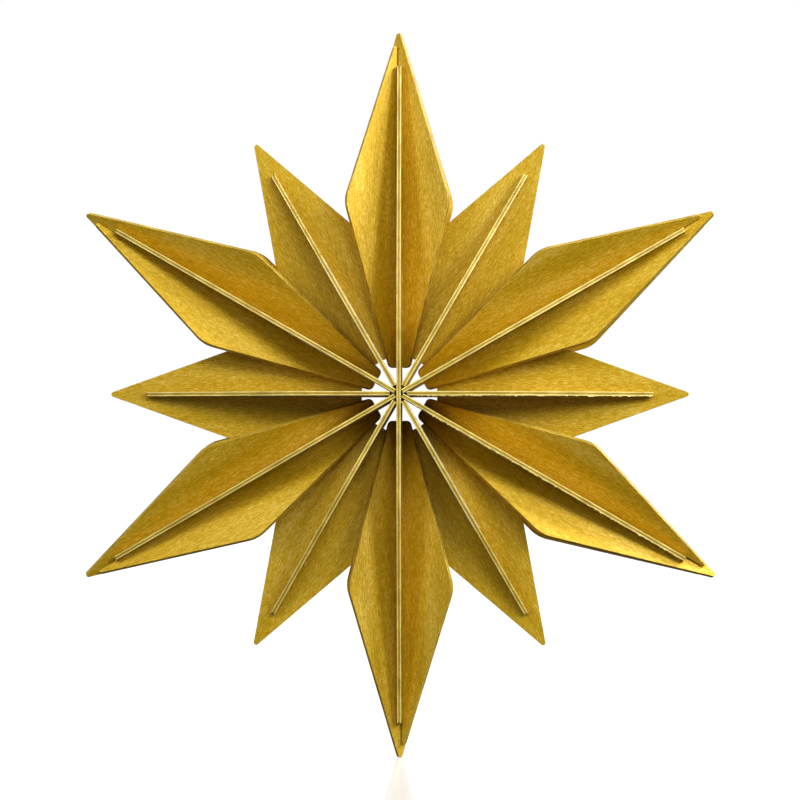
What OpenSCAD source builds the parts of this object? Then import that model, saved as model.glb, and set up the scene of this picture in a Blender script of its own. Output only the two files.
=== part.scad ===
// Twelve-point slot-together star ornament in thin painted plywood.
// The star lies in the XZ plane with its front facing -Y and its centre at the origin.
// Six spines run right across it and interlock at the centre. On each long ray two leaves
// cross on the spine at 30 degrees to the star's plane. On each short ray one leaf lies flat.

/* [Plywood] */
// Thickness of the sheet with its paint
ply_t = 1.65; // [1.5:0.05:2]
// Free space between a slot's side and the sheet in it
play = 0.12; // [0.08:0.01:0.16]
// Free space at the bottom of each slot
end_play = 0.15; // [0.1:0.05:0.3]

/* [Spines] */
// Centre to tip of a long spine
long_spine_reach = 126.8; // [120:0.1:130]
// Centre to tip of a short spine
short_spine_reach = 97.8; // [92:0.1:102]
// Half height of every spine across the middle
spine_half_h = 18.5; // [16:0.5:24]
// Half length of the level stretch across the middle
spine_level = 40; // [30:1:45]
// Half height of a long spine at its tip
long_spine_tip_h = 4.4; // [4.2:0.1:5.5]
// Half height of a short spine at its tip
short_spine_tip_h = 3.2; // [2.8:0.1:4]

/* [Long leaves] */
// Centre to tip of a long ray
long_reach = 140; // [134:1:150]
// Centre to the widest place of a long leaf
long_corner_at = 74.2; // [68:0.1:80]
// Half width of an under leaf at its widest
under_half_w = 24.1; // [22:0.1:25]
// Half width of an over leaf at its widest
over_half_w = 22.6; // [20:0.1:25]
// Centre to the inner end of a long leaf
long_root_at = 10.2; // [10:0.1:14]
// Half width of a long leaf at its inner end
long_root_w = 4.5; // [4:0.1:4.6]
// Centre to where the spine's slots give way to the under leaf
inner_joint_at = 49; // [45:0.5:54]
// Centre to where the under leaf gives way to the over leaf
outer_joint_at = 88; // [84:0.5:94]

/* [Flat leaves] */
// Centre to tip of a short ray
short_reach = 111.6; // [106:0.1:118]
// Centre to the widest place of a flat leaf
flat_corner_at = 63.7; // [60:0.1:68]
// Half width of a flat leaf at its widest
flat_half_w = 17.8; // [15:0.1:18]
// Centre to the inner end of a flat leaf
flat_root_at = 14.5; // [14.3:0.1:18]
// Half width of a flat leaf at its inner end
flat_root_w = 3.2; // [2.8:0.1:3.3]
// Centre to where the spine's slot meets the flat leaf's slot
flat_joint_at = 60; // [56:0.5:66]

/* [Rounding] */
// Radius at the tip of a leaf
tip_r = 1; // [0.8:0.1:1.5]
// Radius at the wide corners of a leaf
corner_r = 11.5; // [6:0.5:14]
// Radius at the outer corners of a long leaf's inner end
root_r = 2.2; // [0.6:0.1:2.4]
// Radius at the small prongs and beside the slots' mouths
prong_r = 0.6; // [0.3:0.1:0.8]
// Radius where a spine starts to taper
shoulder_r = 40; // [10:1:50]

/* [Hidden] */

// Angle between a long leaf and the star's plane; the slots are cut for this angle
leaf_tilt = 30;
// Each spine is whole only in its own band of depth at the centre, counted from the front
bands = 6;
band_h = 2 * spine_half_h / bands;
// Largest turn between two neighbouring points of a rounded corner, in degrees
arc_step = 7;
// How far a centre slot runs past the edge that it opens through
past_edge = 5;
face_gold = "#B8901C";
under_gold = "#A98218";
spine_gold = "#D8BE66";

// Direction of a ray from its place on a clock face
function ray_angle(hour) = 90 - 30 * hour;

// Half width of the slot that lets two sheets cross at an angle
function half_slot(angle) = ply_t / 2 / tan(angle / 2) + play / sin(angle);

function unit(v) = v / norm(v);

// Points of the arc that rounds corner b between a and c; b[2] is the radius
function corner_arc(a, b, c) =
    let (
        p = [b[0], b[1]],
        u = unit([a[0], a[1]] - p),
        v = unit([c[0], c[1]] - p),
        half = acos(max(-1, min(1, u * v))) / 2,
        mid = p + unit(u + v) * b[2] / sin(half),
        from = p + u * b[2] / tan(half) - mid,
        turn = 180 - 2 * half,
        side = sign(u[1] * v[0] - u[0] * v[1]),
        steps = max(2, ceil(turn / arc_step))
    )
    [for (i = [0:steps])
        let (t = side * turn * i / steps)
        mid + [from[0] * cos(t) - from[1] * sin(t), from[0] * sin(t) + from[1] * cos(t)]];

// Closed outline with every corner rounded; each point is [x, y, radius]
function rounded(pts) =
    let (n = len(pts))
    [for (i = [0:n - 1])
        let (arc = corner_arc(pts[(i + n - 1) % n], pts[i], pts[(i + 1) % n]))
        for (q = pts[i][2] > 0 ? arc : [[pts[i][0], pts[i][1]]])
            q];

function mirrored_y(pts) = [for (i = [len(pts) - 1:-1:0]) [pts[i][0], -pts[i][1], pts[i][2]]];

function turned_round(pts) = [for (p = pts) [-p[0], -p[1], p[2]]];

// A sheet cut to an outline, drawn with its X along the ray and its thickness centred
module sheet(pts) {
    translate([0, 0, -ply_t / 2]) linear_extrude(height = ply_t) polygon(rounded(pts));
}

// Stands a sheet on its ray; a positive tilt brings its +Y side forward
module on_ray(hour, tilt) {
    rotate([0, -ray_angle(hour), 0]) rotate([90 + tilt, 0, 0]) children();
}

// One end of a spine from its front shoulder round both prongs to its rear shoulder
function spine_end(reach, tip_h, slot_w, slot_at) =
    let (
        front = [
            [spine_level, spine_half_h, shoulder_r],
            [reach, tip_h, prong_r * 2],
            [reach, slot_w, prong_r],
            [slot_at, slot_w, 0]
        ]
    )
    concat(front, mirrored_y(front));

// A spine with slots at both tips and a slot before and behind its own band at the centre
module spine(hour, band, reach, tip_h, slot_w, slot_at, front_w, rear_w) {
    end = spine_end(reach, tip_h, slot_w, slot_at - end_play);
    band_top = spine_half_h - band * band_h;
    on_ray(hour, 90) difference() {
        sheet(concat(end, turned_round(end)));
        if (band > 0)
            translate([-front_w, band_top, -ply_t])
                cube([2 * front_w, band * band_h + past_edge, 2 * ply_t]);
        if (band < bands - 1)
            translate([-rear_w, -spine_half_h - past_edge, -ply_t])
                cube([2 * rear_w, (bands - 1 - band) * band_h + past_edge, 2 * ply_t]);
    }
}

module long_spine(hour, band) {
    color(spine_gold)
        spine(hour, band, long_spine_reach, long_spine_tip_h, half_slot(60), inner_joint_at,
            half_slot(60), half_slot(30));
}

module short_spine(hour, band) {
    color(spine_gold)
        spine(hour, band, short_spine_reach, short_spine_tip_h, half_slot(90), flat_joint_at,
            half_slot(30), half_slot(60));
}

// Where a leaf's two edges would meet if its tip weren't rounded
function sharp_tip(reach, corner_at, half_w) =
    reach + tip_r * (1 / sin(atan(half_w / (reach - corner_at))) - 1);

over_sharp = sharp_tip(long_reach, long_corner_at, over_half_w);
under_sharp = sharp_tip(long_reach, long_corner_at, under_half_w);
flat_sharp = sharp_tip(short_reach, flat_corner_at, flat_half_w);
// Where an under leaf's edge meets the side of its slot, so that its tip is split in two prongs
split_tip_at = under_sharp - half_slot(60) * (under_sharp - long_corner_at) / under_half_w;

// Under leaf: slotted from both ends, its +Y arm in front
module under_leaf(hour) {
    slot_w = half_slot(60);
    half = [
        [outer_joint_at - end_play, slot_w, 0],
        [split_tip_at, slot_w, prong_r],
        [long_corner_at, under_half_w, corner_r],
        [long_root_at, long_root_w, root_r],
        [long_root_at, slot_w, prong_r],
        [inner_joint_at + end_play, slot_w, 0]
    ];
    color(under_gold) on_ray(hour, leaf_tilt) sheet(concat(half, mirrored_y(half)));
}

// Over leaf: whole at the tip and slotted from its inner end, its -Y arm in front
module over_leaf(hour) {
    slot_w = half_slot(60);
    half = [
        [long_corner_at, over_half_w, corner_r],
        [long_root_at, long_root_w, root_r],
        [long_root_at, slot_w, prong_r],
        [outer_joint_at + end_play, slot_w, 0]
    ];
    color(face_gold) on_ray(hour, -leaf_tilt)
        sheet(concat([[over_sharp, 0, tip_r]], half, mirrored_y(half)));
}

// Flat leaf: lies in the star's plane and is slotted from its inner end
module flat_leaf(hour) {
    slot_w = half_slot(90);
    half = [
        [flat_corner_at, flat_half_w, corner_r],
        [flat_root_at, flat_root_w, prong_r * 2],
        [flat_root_at, slot_w, prong_r],
        [flat_joint_at + end_play, slot_w, 0]
    ];
    color(face_gold) on_ray(hour, 0)
        sheet(concat([[flat_sharp, 0, tip_r]], half, mirrored_y(half)));
}

long_spine(12, 0);  // long_spine_12_6
long_spine(2, 1);  // long_spine_2_8
long_spine(4, 2);  // long_spine_4_10
short_spine(1, 3);  // short_spine_1_7
short_spine(3, 4);  // short_spine_3_9
short_spine(5, 5);  // short_spine_5_11
for (hour = [2:2:12]) {
    under_leaf(hour);
    over_leaf(hour);
}
for (hour = [1:2:11]) {
    flat_leaf(hour);
}
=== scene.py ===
import bpy
import math
from mathutils import Matrix, Vector, noise


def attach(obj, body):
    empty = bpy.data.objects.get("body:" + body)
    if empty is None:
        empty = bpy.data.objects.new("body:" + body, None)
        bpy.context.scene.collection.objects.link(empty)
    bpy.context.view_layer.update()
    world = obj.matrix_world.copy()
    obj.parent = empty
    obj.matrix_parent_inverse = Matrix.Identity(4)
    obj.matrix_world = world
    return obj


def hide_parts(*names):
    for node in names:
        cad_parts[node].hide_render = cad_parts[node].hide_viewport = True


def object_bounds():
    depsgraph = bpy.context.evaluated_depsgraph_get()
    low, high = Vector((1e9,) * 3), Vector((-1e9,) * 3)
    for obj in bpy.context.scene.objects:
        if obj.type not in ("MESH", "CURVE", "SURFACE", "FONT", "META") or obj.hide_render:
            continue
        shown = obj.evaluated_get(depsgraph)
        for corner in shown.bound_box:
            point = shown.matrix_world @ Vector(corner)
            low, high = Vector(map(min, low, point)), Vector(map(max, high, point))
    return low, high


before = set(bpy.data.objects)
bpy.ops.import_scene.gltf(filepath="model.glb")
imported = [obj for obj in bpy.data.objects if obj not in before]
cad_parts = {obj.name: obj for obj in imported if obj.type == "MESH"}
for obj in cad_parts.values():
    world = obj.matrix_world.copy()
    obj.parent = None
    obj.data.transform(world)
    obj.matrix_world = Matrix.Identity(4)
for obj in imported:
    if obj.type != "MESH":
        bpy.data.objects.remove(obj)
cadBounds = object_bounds()
print("frame loaded")

mm = 0.001

# camera: a long lens just right of the star's axis and a little below it
view = {
    "place": (0.019, -1.0, -0.0225),
    "aim": (0.0002, 0.0, -0.0022),
    "sensor": 36.0,
    "lens": 116.5,
}


def addCamera():
    camData = bpy.data.cameras.new("studioCamera")
    camData.sensor_width = view["sensor"]
    camData.lens = view["lens"]
    camData.clip_start = 0.05
    camera = bpy.data.objects.new("studioCamera", camData)
    bpy.context.scene.collection.objects.link(camera)
    camera.location = view["place"]
    look = Vector(view["aim"]) - camera.location
    camera.rotation_euler = look.to_track_quat("-Z", "Y").to_euler()
    bpy.context.scene.camera = camera


addCamera()
bpy.context.scene.view_settings.view_transform = "Standard"
print("camera placed")


def hexColour(code):
    channels = [int(code[i:i + 2], 16) / 255 for i in (1, 3, 5)]
    linear = [c / 12.92 if c <= 0.04045 else ((c + 0.055) / 1.055) ** 2.4 for c in channels]
    return (*linear, 1.0)


def newMaterial(name):
    material = bpy.data.materials.new(name)
    material.use_nodes = True
    material.node_tree.nodes.clear()
    return material, material.node_tree


def addNode(tree, kind, settings=None, links=None):
    # settings name a property or an input; links name an input and give the output that feeds it
    node = tree.nodes.new(kind)
    for name, value in (settings or {}).items():
        if isinstance(name, int) or name in node.inputs:
            node.inputs[name].default_value = value
        else:
            setattr(node, name, value)
    for name, output in (links or {}).items():
        tree.links.new(output, node.inputs[name])
    return node


def addRamp(tree, source, stops):
    ramp = addNode(tree, "ShaderNodeValToRGB", links={"Fac": source})
    while len(ramp.color_ramp.elements) < len(stops):
        ramp.color_ramp.elements.new(0.5)
    for element, (place, colour) in zip(ramp.color_ramp.elements, stops):
        element.position = place
        element.color = hexColour(colour) if isinstance(colour, str) else (colour, colour, colour, 1)
    return ramp.outputs["Color"]


def stretched(tree, place, stretch, detail, roughness=0.5):
    # noise with one feature per millimetre, squeezed or drawn out along each axis of the sheet
    scaled = addNode(tree, "ShaderNodeVectorMath", {"operation": "MULTIPLY", 1: stretch}, {0: place})
    return addNode(tree, "ShaderNodeTexNoise", {"Scale": 1000.0, "Detail": detail, "Roughness": roughness},
                   {"Vector": scaled.outputs[0]}).outputs["Fac"]


# gold paint rolled on rotary-cut birch veneer: satin, with the grain's short streaks and a fine grit in it
paint = {
    "deep": "#8E6800",
    "body": "#C29C0A",
    "bright": "#EED068",
    "roughness": 0.45,
    "metallic": 0.3,
    "specular": 0.3,
    "streak": (0.32, 2.9, 1.0),     # features per millimetre along the grain, across it and through the sheet
    "pore": (0.9, 5.0, 2.0),
    "grit": (2.8, 2.8, 2.8),        # coarser than real pigment, so that it shows
    "figure": (0.015, 0.12, 0.1),   # the broad soft bands of the veneer
    "shares": (0.36, 0.26, 0.18, 0.2),  # of streak, pore, grit and figure; they add up to one
    "darkest": 0.33,                # the sum's lowest and highest values, where the colours end
    "lightest": 0.67,
    "sheenSpread": (-0.08, 0.1),    # how far the grit turns the roughness down and up
    "gritRelief": 0.4,
    "bumpStrength": 0.6,
    "relief": 0.04,
}


def paintedVeneer():
    material, tree = newMaterial("goldPaintedBirchVeneer")
    place = addNode(tree, "ShaderNodeAttribute", {"attribute_name": "sheetPlace"}).outputs["Vector"]
    streak = stretched(tree, place, paint["streak"], 3.0, 0.6)
    pore = stretched(tree, place, paint["pore"], 1.0)
    grit = stretched(tree, place, paint["grit"], 2.0, 0.7)
    figure = stretched(tree, place, paint["figure"], 2.0)
    share = paint["shares"]
    total = addNode(tree, "ShaderNodeMath", {"operation": "MULTIPLY", 1: share[0]}, {0: streak}).outputs[0]
    for part, weight in ((pore, share[1]), (grit, share[2]), (figure, share[3])):
        total = addNode(tree, "ShaderNodeMath", {"operation": "MULTIPLY_ADD", 1: weight},
                        {0: part, 2: total}).outputs[0]
    spread = addNode(tree, "ShaderNodeMapRange",
                     {"From Min": paint["darkest"], "From Max": paint["lightest"]}, {"Value": total})
    stops = [(0.0, paint["deep"]), (0.5, paint["body"]), (1.0, paint["bright"])]
    colour = addRamp(tree, spread.outputs[0], stops)
    smoothest, roughest = (paint["roughness"] + change for change in paint["sheenSpread"])
    sheen = addNode(tree, "ShaderNodeMapRange", {"To Min": smoothest, "To Max": roughest}, {"Value": grit})
    height = addNode(tree, "ShaderNodeMath", {"operation": "MULTIPLY_ADD", 1: paint["gritRelief"]},
                     {0: grit, 2: streak})
    bump = addNode(tree, "ShaderNodeBump",
                   {"Strength": paint["bumpStrength"], "Distance": paint["relief"] * mm},
                   {"Height": height.outputs[0]})
    shader = addNode(tree, "ShaderNodeBsdfPrincipled",
                     {"Metallic": paint["metallic"], "Specular IOR Level": paint["specular"]},
                     {"Base Color": colour, "Roughness": sheen.outputs[0], "Normal": bump.outputs[0]})
    addNode(tree, "ShaderNodeOutputMaterial", links={"Surface": shader.outputs[0]})
    return material


# cut edges: the outer plies take the paint pale and streaky, the core drinks it and stays darker
edge = {
    "faceDeep": "#C2A93C",
    "facePale": "#EEE394",
    "coreDeep": "#7A5E02",
    "corePale": "#BD9A0C",
    # the leaves' rim plies are a darker copy of the spines' ply edge: painted shade that tones down the side
    # lights' highlight along the leaf rims
    "rimPaintedShadeDeep": "#A5861C",
    "rimPaintedShadePale": "#E0C658",
    "rimCoreDeep": "#7C5E08",
    "rimCorePale": "#BC9A26",
    "roughness": 0.55,
    "checkGap": 0.75,      # millimetres between the core's slanted lathe checks
    "checkSlant": 1.2,
    "checkDepth": 0.1,
    "fibre": (0.9, 0.9, 4.0),       # features per millimetre in the sheet's plane and through it
    "blotch": (0.15, 0.15, 0.4),
    "fibreShare": 0.8,
    "darkest": 0.6,
    "lightest": 1.15,
    "metallic": 0.1,
    "relief": 0.08,
    "bumpStrength": 0.6,
}


def cutEdge(name, deep, pale, checks):
    material, tree = newMaterial(name)
    place = addNode(tree, "ShaderNodeAttribute", {"attribute_name": "sheetPlace"}).outputs["Vector"]
    fibre = stretched(tree, place, edge["fibre"], 3.0, 0.6)
    blotch = stretched(tree, place, edge["blotch"], 2.0)
    total = addNode(tree, "ShaderNodeMath", {"operation": "MULTIPLY_ADD", 1: edge["fibreShare"]},
                    {0: fibre, 2: blotch})
    tone = total.outputs[0]
    if checks:
        parts = addNode(tree, "ShaderNodeSeparateXYZ", links={0: place})
        slant = addNode(tree, "ShaderNodeMath", {"operation": "MULTIPLY_ADD", 1: edge["checkSlant"]},
                        {0: parts.outputs[2], 2: parts.outputs[0]})
        perMetre = 2 * math.pi / (edge["checkGap"] * mm)
        phase = addNode(tree, "ShaderNodeMath", {"operation": "MULTIPLY", 1: perMetre}, {0: slant.outputs[0]})
        wave = addNode(tree, "ShaderNodeMath", {"operation": "SINE"}, {0: phase.outputs[0]})
        tone = addNode(tree, "ShaderNodeMath", {"operation": "MULTIPLY_ADD", 1: edge["checkDepth"]},
                       {0: wave.outputs[0], 2: tone}).outputs[0]
    spread = addNode(tree, "ShaderNodeMapRange", {"From Min": edge["darkest"], "From Max": edge["lightest"]},
                     {"Value": tone})
    colour = addRamp(tree, spread.outputs[0], [(0.0, deep), (1.0, pale)])
    bump = addNode(tree, "ShaderNodeBump",
                   {"Strength": edge["bumpStrength"], "Distance": edge["relief"] * mm},
                   {"Height": tone})
    shader = addNode(tree, "ShaderNodeBsdfPrincipled",
                     {"Metallic": edge["metallic"], "Roughness": edge["roughness"]},
                     {"Base Color": colour, "Normal": bump.outputs[0]})
    addNode(tree, "ShaderNodeOutputMaterial", links={"Surface": shader.outputs[0]})
    return material


veneer = paintedVeneer()
plyEdge = cutEdge("gildedPlyEdge", edge["faceDeep"], edge["facePale"], False)
coreEdge = cutEdge("gildedCorePlyEdge", edge["coreDeep"], edge["corePale"], True)
# the leaves' cut edges: the same plywood as the spines' edges, with the outer plies painted darker as painted
# shade against the side lights' rim highlight
leafPlyEdgePaintedShade = cutEdge("gildedLeafPlyEdgePaintedShade", edge["rimPaintedShadeDeep"], edge["rimPaintedShadePale"], False)
leafCoreEdge = cutEdge("gildedLeafCoreEdge", edge["rimCoreDeep"], edge["rimCorePale"], False)
print("materials made")

# the sheet: three plies, with softened arrises and a core that stands back a little
sheet = {
    "thickness": 1.65,
    "weld": 0.005,         # corners closer than this are made one
    "flatWithin": 1.0,     # degrees; neighbouring faces this nearly level are made one
    "arris": 0.1,
    "arrisSteps": 3,
    "coreHalf": 0.38,
    "glueLine": 0.05,
    "coreBack": 0.06,
    "edgeStep": 1.2,       # longest facet along a cut edge
    "chatter": 0.05,       # how deep the saw's waviness cuts into an edge
    "chatterGap": 1.7,     # about how far apart its waves are
    "crossGrain": 1.6,     # how much quicker they change through the sheet
    "fuzzStep": 0.45,      # the same where the arris broke out in splinters
    "splinter": 0.38,      # how far a broken-out arris stands proud
    "fuzzFrom": 6.0,       # splinters start this far out from the centre
    "fuzzAbove": 2.5,      # and only on the front edge, so this far above the middle line or more
    "smoothBelow": 36.0,   # degrees between faces that are shaded as one curve
}


def onRay(hour, tilt):
    turn = Matrix.Rotation(math.radians(30 * hour - 90), 4, "Y")
    return turn @ Matrix.Rotation(math.radians(90 + tilt), 4, "X")


def activate(piece):
    if bpy.context.object and bpy.context.object.mode != "OBJECT":
        bpy.ops.object.mode_set(mode="OBJECT")
    bpy.ops.object.select_all(action="DESELECT")
    piece.select_set(True)
    bpy.context.view_layer.objects.active = piece


def duplicated(source, name):
    activate(source)
    bpy.ops.object.duplicate(linked=False)
    piece = bpy.context.active_object
    piece.name = name
    piece.data.name = name
    piece.parent = None
    for key in list(piece.keys()):
        if key.startswith("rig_"):
            del piece[key]
    return piece


def applied(piece, matrix):
    activate(piece)
    piece.matrix_world = matrix
    bpy.ops.object.transform_apply(location=True, rotation=True, scale=True)


def editAll(piece):
    activate(piece)
    bpy.ops.object.mode_set(mode="EDIT")
    bpy.ops.mesh.select_mode(type="VERT")
    bpy.ops.mesh.select_all(action="SELECT")


def selectEdges(piece, wanted):
    # leaves edit mode for a moment, marks the edges that pass the test and comes back
    bpy.ops.mesh.select_all(action="DESELECT")
    bpy.ops.mesh.select_mode(type="EDGE")
    bpy.ops.object.mode_set(mode="OBJECT")
    mesh = piece.data
    count = 0
    for one in mesh.edges:
        one.select = wanted(mesh.vertices[one.vertices[0]].co, mesh.vertices[one.vertices[1]].co)
        count += one.select
    bpy.ops.object.mode_set(mode="EDIT")
    return count


def cleanSheet(piece, longest):
    editAll(piece)
    bpy.ops.mesh.remove_doubles(threshold=sheet["weld"] * mm)
    bpy.ops.mesh.dissolve_limited(angle_limit=math.radians(sheet["flatWithin"]))
    half = sheet["thickness"] / 2 * mm
    close = 0.01 * mm

    def onRim(a, b):
        return abs(abs(a.z) - half) < close and abs(a.z - b.z) < close

    selectEdges(piece, onRim)
    bpy.ops.mesh.bevel(offset=sheet["arris"] * mm, segments=sheet["arrisSteps"], profile=0.5,
                       affect="EDGES", clamp_overlap=False)
    core = sheet["coreHalf"]
    for height in (-core - sheet["glueLine"], -core, core, core + sheet["glueLine"]):
        bpy.ops.mesh.select_mode(type="VERT")
        bpy.ops.mesh.select_all(action="SELECT")
        bpy.ops.mesh.bisect(plane_co=(0, 0, height * mm), plane_no=(0, 0, 1))
    selectEdges(piece, lambda a, b: abs(a.z) < core * mm + close and abs(b.z) < core * mm + close)
    bpy.ops.transform.shrink_fatten(value=-sheet["coreBack"] * mm)
    flatEnough = 0.2 * mm
    for attempt in range(9):
        if not selectEdges(piece, lambda a, b: abs(a.z - b.z) < flatEnough and (a - b).length > longest * mm):
            break
        bpy.ops.mesh.subdivide(number_cuts=1)
    editAll(piece)
    bpy.ops.mesh.normals_make_consistent(inside=False)
    bpy.ops.object.mode_set(mode="OBJECT")


def roughenEdges(piece, seed, fuzzSide):
    # each cut edge wavers inward a little; a fuzzy arris also stands out in small splinters
    half = sheet["thickness"] / 2 * mm
    arris = half - sheet["arris"] * mm
    close = 0.005 * mm
    shift = Vector((seed * 31.7, seed * 17.3, 0.0))
    mesh = piece.data
    moves = []
    for point in mesh.vertices:
        flat = Vector((point.normal.x, point.normal.y, 0.0))
        if abs(point.co.z) > half - close or flat.length < 0.2:
            moves.append(Vector())
            continue
        spot = Vector((point.co.x, point.co.y, point.co.z * sheet["crossGrain"])) / (sheet["chatterGap"] * mm)
        spot += shift
        depth = 0.5 + 0.5 * noise.noise(spot) + 0.35 * noise.noise(spot * 2.7)
        move = flat.normalized() * (-max(0.0, depth) * sheet["chatter"] * mm)
        front = point.normal.y > 0.5 and point.co.y > sheet["fuzzAbove"] * mm
        outside = point.co.x > sheet["fuzzFrom"] * mm
        if fuzzSide and front and outside and point.co.z * fuzzSide > arris - close:
            rag = 0.6 * noise.noise(spot * 0.7 + shift) + noise.noise(spot * 3.1)
            rag += 0.7 * noise.noise(spot * 5.3)
            move.z += fuzzSide * max(0.0, min(1.0, 2.2 * rag - 0.1)) * sheet["splinter"] * mm
        moves.append(move)
    for point, move in zip(mesh.vertices, moves):
        point.co += move


def finishSheet(piece, seed, ply, core):
    # which finish each face takes, where the piece lies in its own sheet, and smooth arrises
    mesh = piece.data
    mesh.materials.clear()
    for material in (veneer, ply, core):
        mesh.materials.append(material)
    coreTop = (sheet["coreHalf"] + sheet["glueLine"] / 2) * mm
    levelEnough = 0.6      # such a face belongs to the sheet's side, and the rest to its cut edge
    for face in mesh.polygons:
        if abs(face.normal.z) > levelEnough:
            face.material_index = 0
        else:
            face.material_index = 2 if abs(face.center.z) < coreTop else 1
    where = mesh.attributes.new("sheetPlace", "FLOAT_VECTOR", "POINT")
    shift = Vector((0.713 * seed, 0.291 * seed, 0.0))
    for point, entry in zip(mesh.vertices, where.data):
        entry.vector = point.co + shift
    activate(piece)
    bpy.ops.object.shade_smooth_by_angle(angle=math.radians(sheet["smoothBelow"]))
    bpy.ops.object.modifier_add(type="WEIGHTED_NORMAL")
    piece.modifiers[-1].keep_sharp = True
    piece.modifiers[-1].weight = 100
    bpy.ops.object.modifier_apply(modifier=piece.modifiers[-1].name)


def place(piece, node, body, slot, matrix):
    applied(piece, matrix)
    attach(piece, body)
    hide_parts(node)


# spines: fuzz is the side whose front arris broke out along the named ray, or 0
spines = {
    "long_spine_12_6": {"hour": 12, "fuzz": 0},
    "long_spine_2_8": {"hour": 2, "fuzz": 0},
    "long_spine_4_10": {"hour": 4, "fuzz": 1},
    "short_spine_1_7": {"hour": 1, "fuzz": 0},
    "short_spine_3_9": {"hour": 3, "fuzz": 1},
    "short_spine_5_11": {"hour": 5, "fuzz": 0},
}


def makeSpines():
    for seed, (node, how) in enumerate(spines.items(), 1):
        matrix = onRay(how["hour"], 90)
        piece = duplicated(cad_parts[node], "painted_" + node)
        applied(piece, matrix.inverted())
        cleanSheet(piece, sheet["fuzzStep"] if how["fuzz"] else sheet["edgeStep"])
        roughenEdges(piece, seed, how["fuzz"])
        finishSheet(piece, seed, plyEdge, coreEdge)
        place(piece, node, "spine_frame", "spine_ply", matrix)


# leaves: one of each kind is shaped, and the others are copies with their own cut edges
leaves = {
    "under_leaf": {"hours": (12, 2, 4, 6, 8, 10), "tilt": 30, "seed": 20},
    "over_leaf": {"hours": (12, 2, 4, 6, 8, 10), "tilt": -30, "seed": 40},
    "flat_leaf": {"hours": (1, 3, 5, 7, 9, 11), "tilt": 0, "seed": 60},
}


def makeLeaves(kind):
    how = leaves[kind]
    first = how["hours"][0]
    pattern = duplicated(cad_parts[f"{kind}_{first}"], kind + "_pattern")
    applied(pattern, onRay(first, how["tilt"]).inverted())
    cleanSheet(pattern, sheet["edgeStep"])
    for hour in how["hours"]:
        node = f"{kind}_{hour}"
        piece = duplicated(pattern, "painted_" + node)
        roughenEdges(piece, how["seed"] + hour, 0)
        finishSheet(piece, how["seed"] + hour, leafPlyEdgePaintedShade, leafCoreEdge)
        place(piece, node, node, kind + "_ply", onRay(hour, how["tilt"]))
    bpy.data.objects.remove(pattern)


makeSpines()
print("spines made")
for kind in leaves:
    makeLeaves(kind)
print("leaves made")

# stage: an opal light table, as bright as the room behind it, with a slight gloss, and a long white card at
# its far side that only the gloss sees, fading out towards its ends
stage = {
    "floorHalf": 3.0,
    "colour": "#303030",
    "glow": 0.78,
    "roughness": 0.17,
    "cardHalf": 12.0,
    "cardHeight": 6.0,
    "cardGlow": 0.6,
    "fadeFrom": 3.5,
    "fadeTo": 11.0,
}


def stagePiece(name, material, turned, where, halfSizes):
    bpy.ops.object.select_all(action="DESELECT")
    bpy.ops.mesh.primitive_plane_add(size=2, rotation=turned, location=where)
    piece = bpy.context.active_object
    piece.name = name
    piece.scale = (*halfSizes, 1)
    bpy.ops.object.transform_apply(location=True, rotation=True, scale=True)
    piece.data.materials.append(material)
    piece.visible_diffuse = False
    return piece


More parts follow.
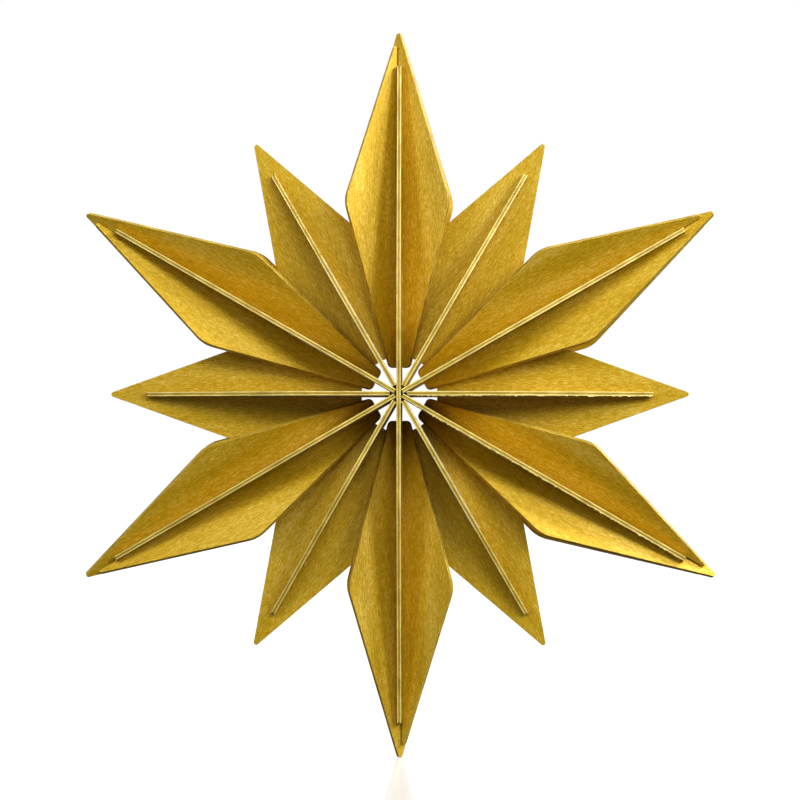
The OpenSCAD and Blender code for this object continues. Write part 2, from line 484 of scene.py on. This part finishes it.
def makeStage():
    low = cadBounds[0][2]
    half = stage["floorHalf"]
    material, tree = newMaterial("litOpalAcrylic")
    shader = addNode(tree, "ShaderNodeBsdfPrincipled", {
        "Base Color": hexColour(stage["colour"]), "Roughness": stage["roughness"],
        "Emission Color": (1, 1, 1, 1), "Emission Strength": stage["glow"]})
    addNode(tree, "ShaderNodeOutputMaterial", links={"Surface": shader.outputs[0]})
    table = stagePiece("studioTable", material, (0, 0, 0), (0, 0, low), (half, half))
    table.visible_glossy = False
    material, tree = newMaterial("whiteFoamBoard")
    where = addNode(tree, "ShaderNodeTexCoord").outputs["Object"]
    along = addNode(tree, "ShaderNodeSeparateXYZ", links={0: where}).outputs[0]
    reach = addNode(tree, "ShaderNodeMath", {"operation": "ABSOLUTE"}, {0: along}).outputs[0]
    fade = addNode(tree, "ShaderNodeMapRange", {
        "interpolation_type": "SMOOTHSTEP", "From Min": stage["fadeFrom"], "From Max": stage["fadeTo"],
        "To Min": stage["cardGlow"], "To Max": 0.0}, {"Value": reach})
    shader = addNode(tree, "ShaderNodeEmission", {"Color": (1, 1, 1, 1)}, {"Strength": fade.outputs[0]})
    addNode(tree, "ShaderNodeOutputMaterial", links={"Surface": shader.outputs[0]})
    rise = stage["cardHeight"] / 2
    card = stagePiece("whiteCard", material, (math.pi / 2, 0, 0), (0, half, low + rise),
                      (stage["cardHalf"], rise))
    card.visible_camera = False
    card.visible_shadow = False
    card.visible_transmission = False


# light: soft boxes spread over the upper front, strongest to the right, two behind for the rear side,
# a little bounce off the table and a dim even room
light = {
    "boxes": {             # degrees to the right, degrees up, watts
        "keyBox": (15, 35, 7.4),
        "rightBox": (45, 22, 12.0),
        "sideBox": (75, 35, 18.0),
        "leftBox": (-45, 20, 5.8),
        "topBox": (-15, 38, 4.0),
        "rearRightBox": (140, 30, 12.0),
        "rearLeftBox": (-155, 35, 14.0),
        "tableBounce": (0, -70, 5.0),
    },
    "distance": 1.5,
    "size": 0.5,
    "room": 0.13,
}


def makeLights():
    for name, (right, up, watts) in light["boxes"].items():
        lamp = bpy.data.lights.new(name, "AREA")
        lamp.shape = "DISK"
        lamp.size = light["size"]
        lamp.energy = watts
        box = bpy.data.objects.new(name, lamp)
        bpy.context.scene.collection.objects.link(box)
        right, up = math.radians(right), math.radians(up)
        away = Vector((math.sin(right) * math.cos(up), -math.cos(right) * math.cos(up), math.sin(up)))
        box.location = away * light["distance"]
        box.rotation_euler = (-away).to_track_quat("-Z", "Y").to_euler()
    world = bpy.data.worlds.new("studioRoom")
    bpy.context.scene.world = world
    world.use_nodes = True
    tree = world.node_tree
    tree.nodes.clear()
    path = addNode(tree, "ShaderNodeLightPath")
    seen = addNode(tree, "ShaderNodeBackground", {"Color": (1, 1, 1, 1), "Strength": 1.0})
    room = addNode(tree, "ShaderNodeBackground", {"Color": (1, 1, 1, 1), "Strength": light["room"]})
    both = addNode(tree, "ShaderNodeMixShader",
                   links={0: path.outputs["Is Camera Ray"], 1: room.outputs[0], 2: seen.outputs[0]})
    addNode(tree, "ShaderNodeOutputWorld", links={0: both.outputs[0]})


makeStage()
makeLights()
print("stage and lights made")
